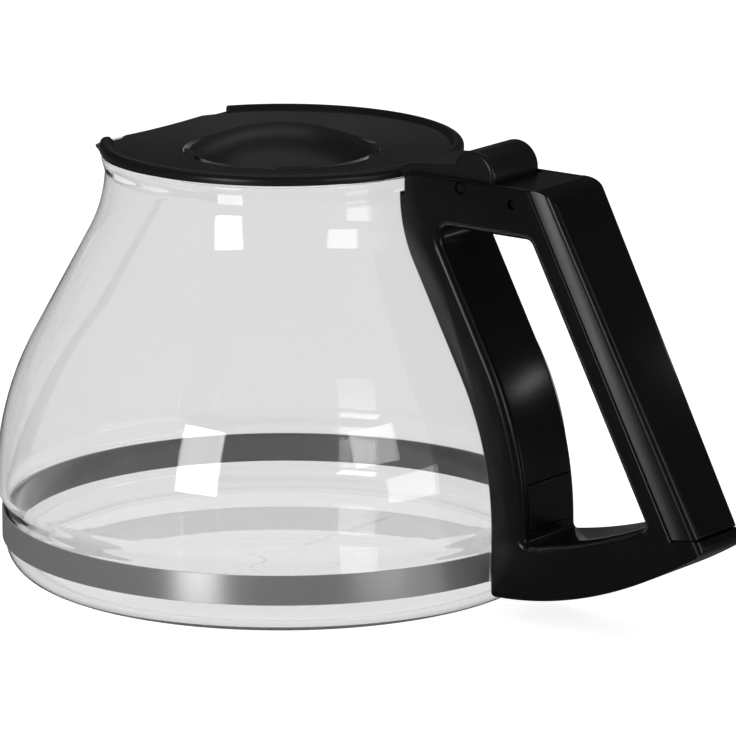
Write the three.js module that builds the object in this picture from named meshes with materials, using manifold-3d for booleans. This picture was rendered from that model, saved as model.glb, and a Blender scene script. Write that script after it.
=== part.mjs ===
// Coffee carafe: a glass jug with a steel clamp band, a two-piece moulded handle and a hinged lid.
// Millimetres, +Z up. The origin is on the jug's axis in the plane it stands on.
// The handle points along +X and the spout along -X.

import * as THREE from 'three';
import { mergeVertices } from 'three/addons/utils/BufferGeometryUtils.js';
import Module from 'manifold-3d';

const wasm = await Module();
wasm.setup();

// Clearances
const SEAT_GAP = 0.3; // between pieces that rest on each other
const RUN_GAP = 0.3; // on each side of the lid's arm between the cheeks
const BORE_GAP = 0.2; // round a pin or a screw in its hole

// Glass jug
const RIM_HEIGHT = 116;
const BODY_RADIUS = 78.5; // at the widest point
const BODY_HEIGHT = 24; // height of the widest point
const NECK_RADIUS = 48;
const CONE_ANGLE = THREE.MathUtils.degToRad(28.2); // slope of the shoulder against the vertical
const NECK_ARC = 40; // radius of the hollow between shoulder and neck, in section
const NECK_STRAIGHT = 0.5; // upright stretch between that hollow and the lip
const WALL = 2.4;
const CORNER_ARC = 8.4; // rounding between floor and side
const FLOOR_RISE = 1.2; // the inner floor swells up in the middle
const LIP_FLARE = 1.5; // the lip stands out of the neck
const LIP_HEIGHT = 3;
const SPOUT_REACH = 10.5; // how far the lip is drawn out
const SPOUT_DROP = 4.2; // how far its tip hangs
const SPOUT_ROOT = 15; // the drawing starts this far below the rim
const SPOUT_HALF_ANGLE = THREE.MathUtils.degToRad(34);
const SPOUT_FLARE = 1.5; // how quickly the drawing fades to the sides
const JUG_SIDES = 48;

// Steel band
const BAND_BOTTOM = 9.1;
const BAND_HEIGHT = 8.1;
const BAND_THICKNESS = 0.6;
const BAND_INSET = 2.3; // the glass under the band is upright and lies this far inside the widest point
const EAR_SPREAD = 17.4; // between the middles of the two turned-out ends
const EAR_REACH = 5.6; // how far the ends stand out of the ring
const HOOK_LENGTH = 3.2;

// Handle
const HANDLE_WIDTH = 25;
const HANDLE_STANDOFF = 0.9; // between glass and handle
const HANDLE_RISE = 2.5; // top of the handle over the rim
const BRIDGE_DEPTH = 13.8;
const LEG_THICKNESS = 10.8;
const GRIP_LEAN = THREE.MathUtils.degToRad(27.9); // against the vertical
const GRIP_OFFSET = 43; // from the neck to the grip, along the bridge
const GRIP_INNER_DEPTH = 6.6; // part of the grip that belongs to the frame
const GRIP_OUTER_DEPTH = 6; // part of the grip that belongs to the cover
const FOOT_BOTTOM = 6.2;
const FOOT_DEPTH = 16; // height of the foot where it leaves the leg
const HEEL_HEIGHT = 28; // underside of the foot at its outer end
const LEDGE_HEIGHT = 31; // the cover ends here
const LOOP_ROUND = 2.6; // rounding of all edges round the finger gap
const LOOP_CORNER = 5; // corner between bridge and leg
const LOOP_CREASE = 1.6; // the other corners of the finger gap
const HEEL_ROUND = 2.4;
const EDGE_ROUND = 0.8;
const CHEEK = 1.7; // wall on each side of the lid's arm
const SHELL = 2.4; // walls of the hollow grip

// Grip cover
const COVER_TOP_WIDTH = 24.4; // of the outer face, at the top
const COVER_END_WIDTH = 20; // and at the lower end
const COVER_ROUND = 2.4; // rounding along the outer face
const COVER_CROWN = 6; // rounding between the top and the outer face
const TONGUE_DEPTH = 8; // the cover reaches down between the cheeks
const COVER_PIN_RADIUS = 1.1;
const COVER_PIN_BEHIND = 16.6; // behind the hinge pin
const COVER_PIN_BELOW = 2.4; // below the hinge pin
const COVER_PIN_RECESS = 0.8;

// Lid hinge
const HINGE_OFFSET = 21.1; // from the neck, along the bridge
const HINGE_BELOW_TOP = 2.2; // below the top of the cheeks
const HINGE_PIN_RADIUS = 1.5;
const HINGE_PIN_RECESS = 0.3;
const DRUM_RADIUS = 6.8; // thumb drum
const DRUM_BEHIND = 2.6; // its axis, from the hinge pin
const DRUM_ABOVE = 3.1;
const DRUM_ROUND = 1.2;
const HINGE_RANGE = THREE.MathUtils.degToRad(80);

// Lid
const LID_RISE = 3; // raised rim over the glass rim
const LID_RIM_WIDTH = 2.6;
const LID_EDGE_ROUND = 1.8;
const LID_SHEET = 2;
const LID_STEP = 1.3; // the funnel starts this far below the raised rim
const FUNNEL_DROP = 1.6;
const SKIRT_GAP = 3.2; // between skirt and neck
const SKIRT_DEPTH = 3;
const SKIRT_DRAFT = 0.5;
const SPOUT_EDGE_INSET = 8.5; // the lid ends straight over the spout, this far inside its rim
const SPOUT_EDGE_HEIGHT = 1; // top of the lid there, over the glass rim
const POUR_WIDTH = 34; // cut in the skirt
const ARM_FRONT = 1.5; // the arm steps up from the raised rim
const ARM_RISE = 3.2; // and climbs on to this at the drum
const ARM_DEPTH = 4.4; // below the rim plane of the cheeks

// Dome in the lid
const DOME_RADIUS = 25;
const DOME_HEIGHT = 6.5;
const DOME_GAP = 1.8; // slit between dome and funnel
const DOME_SHEET = 1.8;
const DOME_LEGS = 4;
const DOME_LEG_WIDTH = 9;
const DOME_LEG_WALL = 3.7;
const DOME_HOOK = 1.2;

// Clamp
const BRACKET_THICKNESS = 1.3;
const SCREW_HEIGHT = 30.5;
const SCREW_RADIUS = 1.4;
const SCREW_HEAD_RADIUS = 2.8;
const SCREW_HEAD_HEIGHT = 1.3;
const BRACKET_MARGIN = 5; // above the screw
const PANEL_WIDTH = 19;
const PANEL_BELOW_SCREW = 5;
const PANEL_ABOVE_SCREW = 7;
const PANEL_THICKNESS = 1.7;
const PANEL_PROUD = 0.5;
const PANEL_RECESS = 3.4;

// Heights and radii that follow from the sizes above
const CHEEK_TOP = RIM_HEIGHT + HANDLE_RISE;
const HALF_WIDTH = HANDLE_WIDTH / 2;
const SLOT_HALF = HALF_WIDTH - CHEEK;
const ARM_HALF = SLOT_HALF - RUN_GAP;
const HINGE_RADIUS = NECK_RADIUS + HINGE_OFFSET; // from the jug's axis
const HINGE_HEIGHT = CHEEK_TOP - HINGE_BELOW_TOP;
const DRUM_SWEEP = Math.hypot(DRUM_BEHIND, DRUM_ABOVE) + DRUM_RADIUS + SEAT_GAP;
const NECK_TOP = RIM_HEIGHT - LIP_HEIGHT - NECK_STRAIGHT;
const LIP_RADIUS = NECK_RADIUS + LIP_FLARE;
const LID_RADIUS = LIP_RADIUS;
const SPOUT_EDGE = LID_RADIUS - SPOUT_EDGE_INSET; // from the axis
const FUNNEL_HOLE = DOME_RADIUS + DOME_GAP; // radius
const BAND_TOP = BAND_BOTTOM + BAND_HEIGHT;
const BAND_SEAT_RADIUS = BODY_RADIUS - BAND_INSET;
const BAND_RADIUS = BAND_SEAT_RADIUS + SEAT_GAP; // inside of the strap
const LEG_INSIDE = BODY_RADIUS + HANDLE_STANDOFF;
const BRACKET_OUTSIDE = BAND_RADIUS + EAR_REACH - SEAT_GAP;
const POCKET_DEPTH = BAND_RADIUS + EAR_REACH + BAND_THICKNESS + SEAT_GAP;
const FUNNEL_FLOOR = RIM_HEIGHT + LID_RISE - LID_STEP - FUNNEL_DROP;

// The belly is the arc that is upright at the widest point and runs into the shoulder
const BELLY_ARC = ((NECK_RADIUS - BODY_RADIUS) * Math.cos(CONE_ANGLE)
  + (NECK_TOP - BODY_HEIGHT) * Math.sin(CONE_ANGLE)) / (1 - Math.cos(CONE_ANGLE)) - NECK_ARC;

// Points in section planes

const point = (x, y) => new THREE.Vector2(x, y);

function arc(centre, radius, from, to, steps) {
  return Array.from({ length: steps + 1 }, (_, i) => {
    const angle = from + (to - from) * i / steps;
    return point(centre.x + radius * Math.cos(angle), centre.y + radius * Math.sin(angle));
  });
}

function bend(from, control, to, steps) {
  return new THREE.QuadraticBezierCurve(from, control, to).getPoints(steps);
}

function trimStart(line, length) {
  const rest = line.map((p) => p.clone());
  let left = length;
  while (left > 0 && rest.length > 1) {
    const piece = rest[0].distanceTo(rest[1]);
    if (piece > left) {
      rest[0].lerp(rest[1], left / piece);
      left = 0;
    } else {
      left -= piece;
      rest.shift();
    }
  }
  return rest;
}

// A closed outline from lines that follow each other, with a rounding where each line ends
function outline(sides) {
  const loop = [];
  sides.forEach(({ line, round = 0 }, i) => {
    const next = sides[(i + 1) % sides.length].line;
    const before = sides[(i + sides.length - 1) % sides.length].round ?? 0;
    const kept = trimStart(trimStart(line, before).reverse(), round).reverse();
    loop.push(...kept);
    if (round > 0) {
      const landing = trimStart(next, round)[0];
      loop.push(...bend(kept.at(-1), line.at(-1), landing, 4));
    }
  });
  const clean = loop.filter((p, i) => p.distanceTo(loop.at(i - 1)) > 1e-3);
  return THREE.ShapeUtils.isClockWise(clean) ? clean.reverse() : clean;
}

// The same outline moved outward by a distance
function grown(loop, distance) {
  return loop.map((p, i) => {
    const into = p.clone().sub(loop.at(i - 1)).normalize();
    const out = loop[(i + 1) % loop.length].clone().sub(p).normalize();
    const normal = point(into.y + out.y, -into.x - out.x).normalize();
    const share = Math.max(normal.x * into.y - normal.y * into.x, 0.4);
    return p.clone().addScaledVector(normal, distance / share);
  });
}

// Solids

function solidOf(geometry) {
  const bare = geometry.index ? geometry.clone() : geometry;
  bare.deleteAttribute('normal');
  bare.deleteAttribute('uv');
  const merged = mergeVertices(bare, 1e-4);
  return new wasm.Manifold(new wasm.Mesh({
    numProp: 3,
    vertProperties: new Float32Array(merged.attributes.position.array),
    triVerts: new Uint32Array(merged.index.array),
  }));
}

function geometryOf(solid) {
  const mesh = solid.getMesh();
  const geometry = new THREE.BufferGeometry();
  geometry.setAttribute('position', new THREE.BufferAttribute(mesh.vertProperties, 3));
  geometry.setIndex(new THREE.BufferAttribute(mesh.triVerts, 1));
  geometry.computeVertexNormals();
  return geometry;
}

// A solid between matching rings, closed by the first and the last one
function loft(rings, place) {
  const count = rings[0].loop.length;
  const positions = rings.flatMap(({ loop, at }) => loop.flatMap((p) => place(p, at)));
  const index = [];
  for (let ring = 0; ring + 1 < rings.length; ring++) {
    for (let i = 0; i < count; i++) {
      const a = ring * count + i;
      const b = ring * count + (i + 1) % count;
      index.push(a, b, b + count, a, b + count, a + count);
    }
  }
  const last = (rings.length - 1) * count;
  for (const [a, b, c] of THREE.ShapeUtils.triangulateShape(rings[0].loop, [])) {
    index.push(c, b, a);
  }
  for (const [a, b, c] of THREE.ShapeUtils.triangulateShape(rings.at(-1).loop, [])) {
    index.push(last + a, last + b, last + c);
  }
  const geometry = new THREE.BufferGeometry();
  geometry.setAttribute('position', new THREE.Float32BufferAttribute(positions, 3));
  geometry.setIndex(index);
  return solidOf(geometry);
}

// Places an outline drawn in radius and height at a distance along -Y, and one drawn in a level plane
const upright = (p, at) => [p.x, -at, p.y];
const level = (p, at) => [p.x, p.y, at];

// A plate across the handle, its side edges rounded
function plate(loop, half, round) {
  const steps = 3;
  const rings = [];
  for (let i = 0; i <= steps; i++) {
    const angle = i / steps * Math.PI / 2;
    const ring = grown(loop, round * (Math.sin(angle) - 1));
    rings.push({ loop: ring, at: -half + round * (1 - Math.cos(angle)) });
  }
  const mirrored = rings.map(({ loop: ring, at }) => ({ loop: ring, at: -at })).reverse();
  return loft([...rings, ...mirrored], upright);
}

function slab(loop, half) {
  return loft([{ loop, at: -half }, { loop, at: half }], upright);
}

// A tool that cuts a gap through the handle and rounds its edges
function flaredCut(loop, half, round) {
  const steps = 4;
  const rings = [{ loop: grown(loop, round), at: -half - 1 }];
  for (let i = 0; i <= steps; i++) {
    const angle = i / steps * Math.PI / 2;
    const ring = grown(loop, round * (1 - Math.sin(angle)));
    rings.push({ loop: ring, at: -half + round * (1 - Math.cos(angle)) });
  }
  const mirrored = rings.map(({ loop: ring, at }) => ({ loop: ring, at: -at })).reverse();
  return loft([...rings, ...mirrored], upright);
}

function block(low, high) {
  const size = new THREE.Vector3().subVectors(high, low);
  const middle = new THREE.Vector3().addVectors(low, high).multiplyScalar(0.5);
  return solidOf(new THREE.BoxGeometry(size.x, size.y, size.z).translate(middle.x, middle.y, middle.z));
}

const corner = (x, y, z) => new THREE.Vector3(x, y, z);

// Round bars across the handle and along it
function crossBar(radius, half, x, z, sides = 24) {
  return solidOf(new THREE.CylinderGeometry(radius, radius, 2 * half, sides).translate(x, 0, z));
}

function lengthBar(radius, from, to, z, sides = 20) {
  const bar = new THREE.CylinderGeometry(radius, radius, to - from, sides);
  return solidOf(bar.rotateZ(Math.PI / 2).translate((from + to) / 2, 0, z));
}

function turned(loop, sides) {
  const profile = [...loop, loop[0].clone()];
  return new THREE.LatheGeometry(profile, sides).rotateX(Math.PI / 2);
}

// Section of the jug's side from the widest point to the neck, moved outward by a distance
function jugSide(outward, steps = 7) {
  const belly = point(BODY_RADIUS - BELLY_ARC, BODY_HEIGHT);
  const hollow = point(NECK_RADIUS + NECK_ARC, NECK_TOP);
  return [
    ...arc(belly, BELLY_ARC + outward, 0, CONE_ANGLE, steps),
    ...arc(hollow, NECK_ARC - outward, Math.PI + CONE_ANGLE, Math.PI, steps),
  ];
}

// Glass jug

function jugFoot(inward) {
  const centre = point(BAND_SEAT_RADIUS - CORNER_ARC, CORNER_ARC);
  const rounding = arc(centre, CORNER_ARC - inward, -Math.PI / 2, 0, 5);
  const swellStart = BAND_TOP + SEAT_GAP;
  const swell = Array.from({ length: 5 }, (_, i) => {
    const share = (1 - Math.cos(Math.PI * i / 5)) / 2;
    const radius = BAND_SEAT_RADIUS + (BODY_RADIUS - BAND_SEAT_RADIUS) * share;
    return point(radius - inward, swellStart + (BODY_HEIGHT - swellStart) * i / 5);
  });
  return [...rounding, ...swell];
}

function floorLine() {
  const reach = BAND_SEAT_RADIUS - CORNER_ARC;
  return Array.from({ length: 5 }, (_, i) => {
    const share = (i + 1) / 5;
    return point(reach * (1 - share), WALL + FLOOR_RISE * share * (2 - share));
  });
}

function lipLine() {
  const bottom = RIM_HEIGHT - LIP_HEIGHT;
  const inside = NECK_RADIUS - WALL;
  const middle = bottom + LIP_HEIGHT / 2;
  const crest = point((LIP_RADIUS + inside) / 2, RIM_HEIGHT);
  const under = bend(point(NECK_RADIUS, bottom), point(LIP_RADIUS, bottom), point(LIP_RADIUS, middle), 3);
  const outer = bend(under.at(-1), point(LIP_RADIUS, RIM_HEIGHT), crest, 3);
  const inner = bend(crest, point(inside, RIM_HEIGHT), point(inside, middle), 3);
  return [...under, ...outer.slice(1), ...inner.slice(1)];
}

// Draws the lip out and down around the -X side
function drawSpout(geometry) {
  const vertices = geometry.attributes.position;
  const root = RIM_HEIGHT - SPOUT_ROOT;
  for (let i = 0; i < vertices.count; i++) {
    const v = new THREE.Vector3().fromBufferAttribute(vertices, i);
    const angle = Math.abs(Math.atan2(v.y, -v.x)) / SPOUT_HALF_ANGLE;
    const climb = (v.z - root) / SPOUT_ROOT;
    if (angle < 1 && climb > 0 && Math.hypot(v.x, v.y) > NECK_RADIUS / 2) {
      const side = Math.cos(angle * Math.PI / 2) ** SPOUT_FLARE;
      const radius = Math.hypot(v.x, v.y);
      const scale = (radius + SPOUT_REACH * side * climb ** 2) / radius;
      vertices.setXYZ(i, v.x * scale, v.y * scale, v.z - SPOUT_DROP * side * climb ** 2);
    }
  }
  return geometry;
}

function glassJug() {
  const outside = [point(0, 0), ...jugFoot(0), ...jugSide(0), ...lipLine()];
  const inside = [...floorLine().reverse(), ...jugFoot(WALL), ...jugSide(-WALL)].reverse();
  const shell = new THREE.LatheGeometry([...outside, ...inside], JUG_SIDES);
  return solidOf(drawSpout(shell.rotateX(Math.PI / 2)));
}

// Steel band: a strap round the jug whose ends turn out into the handle and hook inwards there

function steelBand() {
  const middle = BAND_RADIUS + BAND_THICKNESS / 2;
  const ear = EAR_SPREAD / 2;
  const hook = BAND_RADIUS + EAR_REACH + BAND_THICKNESS / 2;
  const start = Math.asin(ear / middle);
  const end = [point(hook, ear - HOOK_LENGTH), point(hook, ear)];
  const centre = [
    ...end,
    ...arc(point(0, 0), middle, start, 2 * Math.PI - start, JUG_SIDES),
    ...end.map((p) => point(p.x, -p.y)).reverse(),
  ];
  const side = (distance) => centre.map((p, i) => {
    const into = p.clone().sub(centre[Math.max(i - 1, 0)]).normalize();
    const out = centre[Math.min(i + 1, centre.length - 1)].clone().sub(p).normalize();
    const along = into.clone().add(out).normalize();
    const share = i === 0 || i === centre.length - 1 ? 1 : Math.max(along.dot(into), 0.4);
    return p.clone().add(point(along.y, -along.x).multiplyScalar(distance / share));
  });
  const strap = new THREE.Shape([...side(BAND_THICKNESS / 2), ...side(-BAND_THICKNESS / 2).reverse()]);
  const sheet = new THREE.ExtrudeGeometry(strap, { depth: BAND_HEIGHT, bevelEnabled: false });
  return solidOf(sheet.translate(0, 0, BAND_BOTTOM));
}

// Lines of the handle in radius and height

function legOutside(extra) {
  const side = jugSide(HANDLE_STANDOFF + LEG_THICKNESS + extra);
  return [point(side[0].x, FOOT_BOTTOM), ...side];
}

const BRIDGE_BOTTOM = CHEEK_TOP - BRIDGE_DEPTH;
const GRIP_TOP = NECK_RADIUS + GRIP_OFFSET; // inner face of the grip at the underside of the bridge
const gripLine = (depth, z) => point(
  GRIP_TOP + depth / Math.cos(GRIP_LEAN) + (BRIDGE_BOTTOM - z) * Math.tan(GRIP_LEAN),
  z,
);
const FOOT_TOP = FOOT_BOTTOM + FOOT_DEPTH;
const HEEL = gripLine(GRIP_INNER_DEPTH + GRIP_OUTER_DEPTH, HEEL_HEIGHT);
const LOOP_FLOOR = HEEL_HEIGHT + FOOT_DEPTH / 3; // where the foot meets the grip's inner face

// Part of a rising line between two heights, with its ends cut to them
function between(line, low, high) {
  const kept = line.filter((p) => p.y > low && p.y < high);
  const cut = (z) => {
    const i = line.findIndex((p, k) => k > 0 && (p.y - z) * (line[k - 1].y - z) <= 0);
    return line[i - 1].clone().lerp(line[i], (z - line[i - 1].y) / (line[i].y - line[i - 1].y));
  };
  return [cut(low), ...kept, cut(high)];
}

function fingerGap() {
  const upperLeg = between(legOutside(0), BODY_HEIGHT, BRIDGE_BOTTOM);
  const legFoot = point(upperLeg[0].x, FOOT_TOP);
  const gripFoot = gripLine(0, LOOP_FLOOR);
  const sag = point((legFoot.x + gripFoot.x) / 2, FOOT_TOP + FOOT_DEPTH / 6);
  return outline([
    { line: [legFoot, ...upperLeg], round: LOOP_CORNER },
    { line: [upperLeg.at(-1), gripLine(0, BRIDGE_BOTTOM)], round: LOOP_CREASE },
    { line: [gripLine(0, BRIDGE_BOTTOM), gripFoot], round: LOOP_CREASE },
    { line: bend(gripFoot, sag, legFoot, 8), round: LOOP_CREASE },
  ]);
}

function frameOutline() {
  const underLip = RIM_HEIGHT - LIP_HEIGHT - SEAT_GAP;
  const neck = NECK_RADIUS + HANDLE_STANDOFF;
  const nose = LIP_RADIUS + HANDLE_STANDOFF;
  const inner = [
    point(LEG_INSIDE, FOOT_BOTTOM),
    ...jugSide(HANDLE_STANDOFF).filter((p) => p.y < underLip - 2 * EDGE_ROUND),
    point(neck, underLip),
    point(nose, underLip),
    point(nose, CHEEK_TOP),
  ];
  const seamTop = gripLine(GRIP_INNER_DEPTH, CHEEK_TOP);
  const seamEnd = gripLine(GRIP_INNER_DEPTH, LEDGE_HEIGHT);
  const ledge = gripLine(GRIP_INNER_DEPTH + GRIP_OUTER_DEPTH, LEDGE_HEIGHT);
  const sag = point((LEG_INSIDE + HEEL.x) / 2, FOOT_BOTTOM);
  return outline([
    { line: inner, round: HANDLE_RISE },
    { line: [inner.at(-1), seamTop] },
    { line: [seamTop, seamEnd] },
    { line: [seamEnd, ledge] },
    { line: [ledge, HEEL], round: HEEL_ROUND },
    { line: bend(HEEL, sag, inner[0], 10), round: LOOP_CREASE },
  ]);
}

// Hollow of the grip, open towards the cover
function gripHollow() {
  const top = BRIDGE_BOTTOM - SHELL;
  const end = LOOP_FLOOR + SHELL;
  return outline([
    { line: [gripLine(SHELL, top), gripLine(SHELL, end)], round: SHELL },
    { line: [gripLine(SHELL, end), gripLine(GRIP_INNER_DEPTH + SHELL, end)] },
    { line: [gripLine(GRIP_INNER_DEPTH + SHELL, end), gripLine(GRIP_INNER_DEPTH + SHELL, top)] },
    { line: [gripLine(GRIP_INNER_DEPTH + SHELL, top), gripLine(SHELL, top)], round: SHELL },
  ]);
}

const COVER_PIN_X = HINGE_RADIUS + COVER_PIN_BEHIND;
const COVER_PIN_Z = HINGE_HEIGHT - COVER_PIN_BELOW;
const TONGUE_BOTTOM = CHEEK_TOP - TONGUE_DEPTH;
const POCKET_HALF = EAR_SPREAD / 2 + BAND_THICKNESS / 2 + SEAT_GAP;

// The drum reaches lowest with the lid wide open
const DRUM_LOW = Math.hypot(DRUM_BEHIND, DRUM_ABOVE)
  * Math.sin(Math.atan2(DRUM_ABOVE, DRUM_BEHIND) - HINGE_RANGE) - DRUM_RADIUS;

function handleFrame() {
  const far = HALF_WIDTH + 1;
  const seam = gripLine(GRIP_INNER_DEPTH, CHEEK_TOP).x + BRIDGE_DEPTH;
  const armSlot = block(
    corner(0, -SLOT_HALF, CHEEK_TOP - ARM_DEPTH - SEAT_GAP),
    corner(HINGE_RADIUS, SLOT_HALF, CHEEK_TOP + far),
  );
  const drumSlot = crossBar(DRUM_SWEEP, SLOT_HALF, HINGE_RADIUS, HINGE_HEIGHT, 48).intersect(block(
    corner(0, -far, HINGE_HEIGHT + DRUM_LOW - SEAT_GAP),
    corner(HINGE_RADIUS + far, far, CHEEK_TOP + far),
  ));
  const tongueSlot = block(
    corner(HINGE_RADIUS, -SLOT_HALF, TONGUE_BOTTOM - SEAT_GAP),
    corner(seam, SLOT_HALF, CHEEK_TOP + far),
  );
  const pocket = block(
    corner(BODY_RADIUS - BRIDGE_DEPTH, -POCKET_HALF, BAND_BOTTOM - SEAT_GAP),
    corner(POCKET_DEPTH, POCKET_HALF, SCREW_HEIGHT + BRACKET_MARGIN + SEAT_GAP),
  );
  return plate(frameOutline(), HALF_WIDTH, EDGE_ROUND)
    .subtract(flaredCut(fingerGap(), HALF_WIDTH, LOOP_ROUND))
    .subtract(heelWaste())
    .subtract(armSlot)
    .subtract(drumSlot)
    .subtract(tongueSlot)
    .subtract(slab(gripHollow(), HALF_WIDTH - SHELL))
    .subtract(pocket)
    .subtract(slab(panelOutline(SEAT_GAP, PANEL_RECESS), PANEL_WIDTH / 2 + SEAT_GAP))
    .subtract(screwBore())
    .subtract(crossBar(HINGE_PIN_RADIUS + BORE_GAP, far, HINGE_RADIUS, HINGE_HEIGHT))
    .subtract(crossBar(COVER_PIN_RADIUS + BORE_GAP, far, COVER_PIN_X, COVER_PIN_Z));
}

// What is cut off the sides of the heel, so that it continues the cover's taper
function heelWaste() {
  const seam = GRIP_INNER_DEPTH + EDGE_ROUND;
  const top = LEDGE_HEIGHT + EDGE_ROUND;
  const region = outline([
    { line: [gripLine(seam, top), gripLine(seam, 0)] },
    { line: [gripLine(seam + BRIDGE_DEPTH, 0), gripLine(seam + BRIDGE_DEPTH, top)] },
  ]);
  const ends = [0, LEDGE_HEIGHT + HALF_WIDTH];
  const kept = ends.map((z) => ({ loop: coverSection(z, COVER_END_WIDTH, 0), at: z }));
  return slab(region, HALF_WIDTH + EDGE_ROUND).subtract(loft(kept, level));
}

// Panel over the clamp screw, and the recess that it closes when it is grown by a gap
function panelOutline(gap, depth) {
  const low = SCREW_HEIGHT - PANEL_BELOW_SCREW - gap;
  const high = SCREW_HEIGHT + PANEL_ABOVE_SCREW + gap;
  const proud = between(legOutside(gap > 0 ? BRIDGE_DEPTH : PANEL_PROUD), low, high);
  const sunk = between(legOutside(-depth), low, high).reverse();
  return outline([
    { line: proud },
    { line: [proud.at(-1), sunk[0]] },
    { line: sunk },
    { line: [sunk.at(-1), proud[0]] },
  ]);
}

function clampCover() {
  return slab(panelOutline(0, PANEL_THICKNESS - PANEL_PROUD), PANEL_WIDTH / 2);
}

function screwBore() {
  return lengthBar(SCREW_RADIUS + BORE_GAP, BODY_RADIUS, LEG_INSIDE + LEG_THICKNESS, SCREW_HEIGHT);
}

function clampBracket() {
  const half = EAR_SPREAD / 2 - BAND_THICKNESS / 2 - SEAT_GAP;
  const strip = block(
    corner(BRACKET_OUTSIDE - BRACKET_THICKNESS, -half, BAND_BOTTOM),
    corner(BRACKET_OUTSIDE, half, SCREW_HEIGHT + BRACKET_MARGIN),
  );
  return strip.subtract(screwBore());
}

function clampScrew() {
  const floor = between(legOutside(-PANEL_RECESS), BODY_HEIGHT, SCREW_HEIGHT).at(-1).x;
  const seat = floor + SEAT_GAP;
  const tip = BRACKET_OUTSIDE - BRACKET_THICKNESS - SEAT_GAP;
  return lengthBar(SCREW_HEAD_RADIUS, seat, seat + SCREW_HEAD_HEIGHT, SCREW_HEIGHT)
    .add(lengthBar(SCREW_RADIUS, tip, seat + SCREW_HEAD_HEIGHT / 2, SCREW_HEIGHT));
}

// Grip cover: a tapering shell on the outer half of the grip, with a tongue between the cheeks

function coverSection(z, width, sink) {
  const inner = gripLine(GRIP_INNER_DEPTH, z).x + SEAT_GAP - sink;
  const outer = gripLine(GRIP_INNER_DEPTH + GRIP_OUTER_DEPTH - sink, z).x;
  const half = HALF_WIDTH - sink;
  const face = width / 2 - sink;
  const round = COVER_ROUND;
  const rim = arc(point(outer - round, face - round), round, 0, Math.PI / 2, 4);
  const side = [...rim, point(inner, half)];
  return [...side.map((p) => point(p.x, -p.y)).reverse(), ...side];
}

// The cover's shape before its ends are trimmed, or its hollow when it is sunk by the shell
function coverBody(sink) {
  const past = sink > 0 ? -sink : SHELL;
  const end = LEDGE_HEIGHT + SEAT_GAP - past;
  const top = CHEEK_TOP + past;
  return loft([
    { loop: coverSection(end, COVER_END_WIDTH, sink), at: end },
    { loop: coverSection(top, COVER_TOP_WIDTH, sink), at: top },
  ], level);
}

function coverOutline() {
  const depth = GRIP_INNER_DEPTH + GRIP_OUTER_DEPTH;
  const end = LEDGE_HEIGHT + SEAT_GAP;
  const back = GRIP_INNER_DEPTH / 2;
  return outline([
    { line: [gripLine(back, CHEEK_TOP), gripLine(depth, CHEEK_TOP)], round: COVER_CROWN },
    { line: [gripLine(depth, CHEEK_TOP), gripLine(depth, end)], round: LOOP_CREASE },
    { line: [gripLine(depth, end), gripLine(back, end)] },
    { line: [gripLine(back, end), gripLine(back, CHEEK_TOP)] },
  ]);
}

function gripCover() {
  const overlap = GRIP_INNER_DEPTH;
  const half = SLOT_HALF - SEAT_GAP;
  const seam = gripLine(GRIP_INNER_DEPTH, CHEEK_TOP).x;
  const tongue = plate(outline([
    { line: [point(HINGE_RADIUS, CHEEK_TOP), point(seam + SHELL, CHEEK_TOP)] },
    { line: [point(seam + SHELL, CHEEK_TOP), point(seam + SHELL, TONGUE_BOTTOM)] },
    { line: [point(seam + SHELL, TONGUE_BOTTOM), point(HINGE_RADIUS, TONGUE_BOTTOM)] },
    { line: [point(HINGE_RADIUS, TONGUE_BOTTOM), point(HINGE_RADIUS, CHEEK_TOP)] },
  ]), half, EDGE_ROUND / 2);
  const tongueHollow = block(
    corner(HINGE_RADIUS + DRUM_SWEEP + SHELL + SEAT_GAP, -half + SHELL, TONGUE_BOTTOM - overlap),
    corner(seam + 2 * SHELL, half - SHELL, CHEEK_TOP - SHELL),
  );
  return coverBody(0)
    .subtract(coverBody(SHELL))
    .intersect(plate(coverOutline(), HALF_WIDTH, EDGE_ROUND / 2))
    .add(tongue)
    .subtract(tongueHollow)
    .subtract(crossBar(DRUM_SWEEP + SEAT_GAP, HANDLE_WIDTH, HINGE_RADIUS, HINGE_HEIGHT, 48))
    .subtract(crossBar(COVER_PIN_RADIUS + BORE_GAP, HANDLE_WIDTH, COVER_PIN_X, COVER_PIN_Z));
}

// Lid: rim, funnel and skirt are turned, the arm and the thumb drum are a plate between the cheeks

function lidSection() {
  const seat = RIM_HEIGHT + SEAT_GAP;
  const top = RIM_HEIGHT + LID_RISE;
  const skirt = NECK_RADIUS - WALL - SKIRT_GAP;
  const skirtEnd = RIM_HEIGHT - SKIRT_DEPTH;
  const step = LID_RADIUS - LID_RIM_WIDTH;
  const funnelTop = top - LID_STEP;
  return [
    point(LID_RADIUS, seat),
    ...arc(point(LID_RADIUS - LID_EDGE_ROUND, top - LID_EDGE_ROUND), LID_EDGE_ROUND, 0, Math.PI / 2, 4),
    point(step, top),
    point(step - LID_STEP, funnelTop),
    point(FUNNEL_HOLE, FUNNEL_FLOOR),
    point(FUNNEL_HOLE, FUNNEL_FLOOR - LID_SHEET),
    point(skirt - LID_SHEET, funnelTop - LID_SHEET),
    point(skirt - SKIRT_DRAFT - LID_SHEET / 2, skirtEnd),
    point(skirt - SKIRT_DRAFT, skirtEnd),
    point(skirt, seat),
  ];
}

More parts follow.
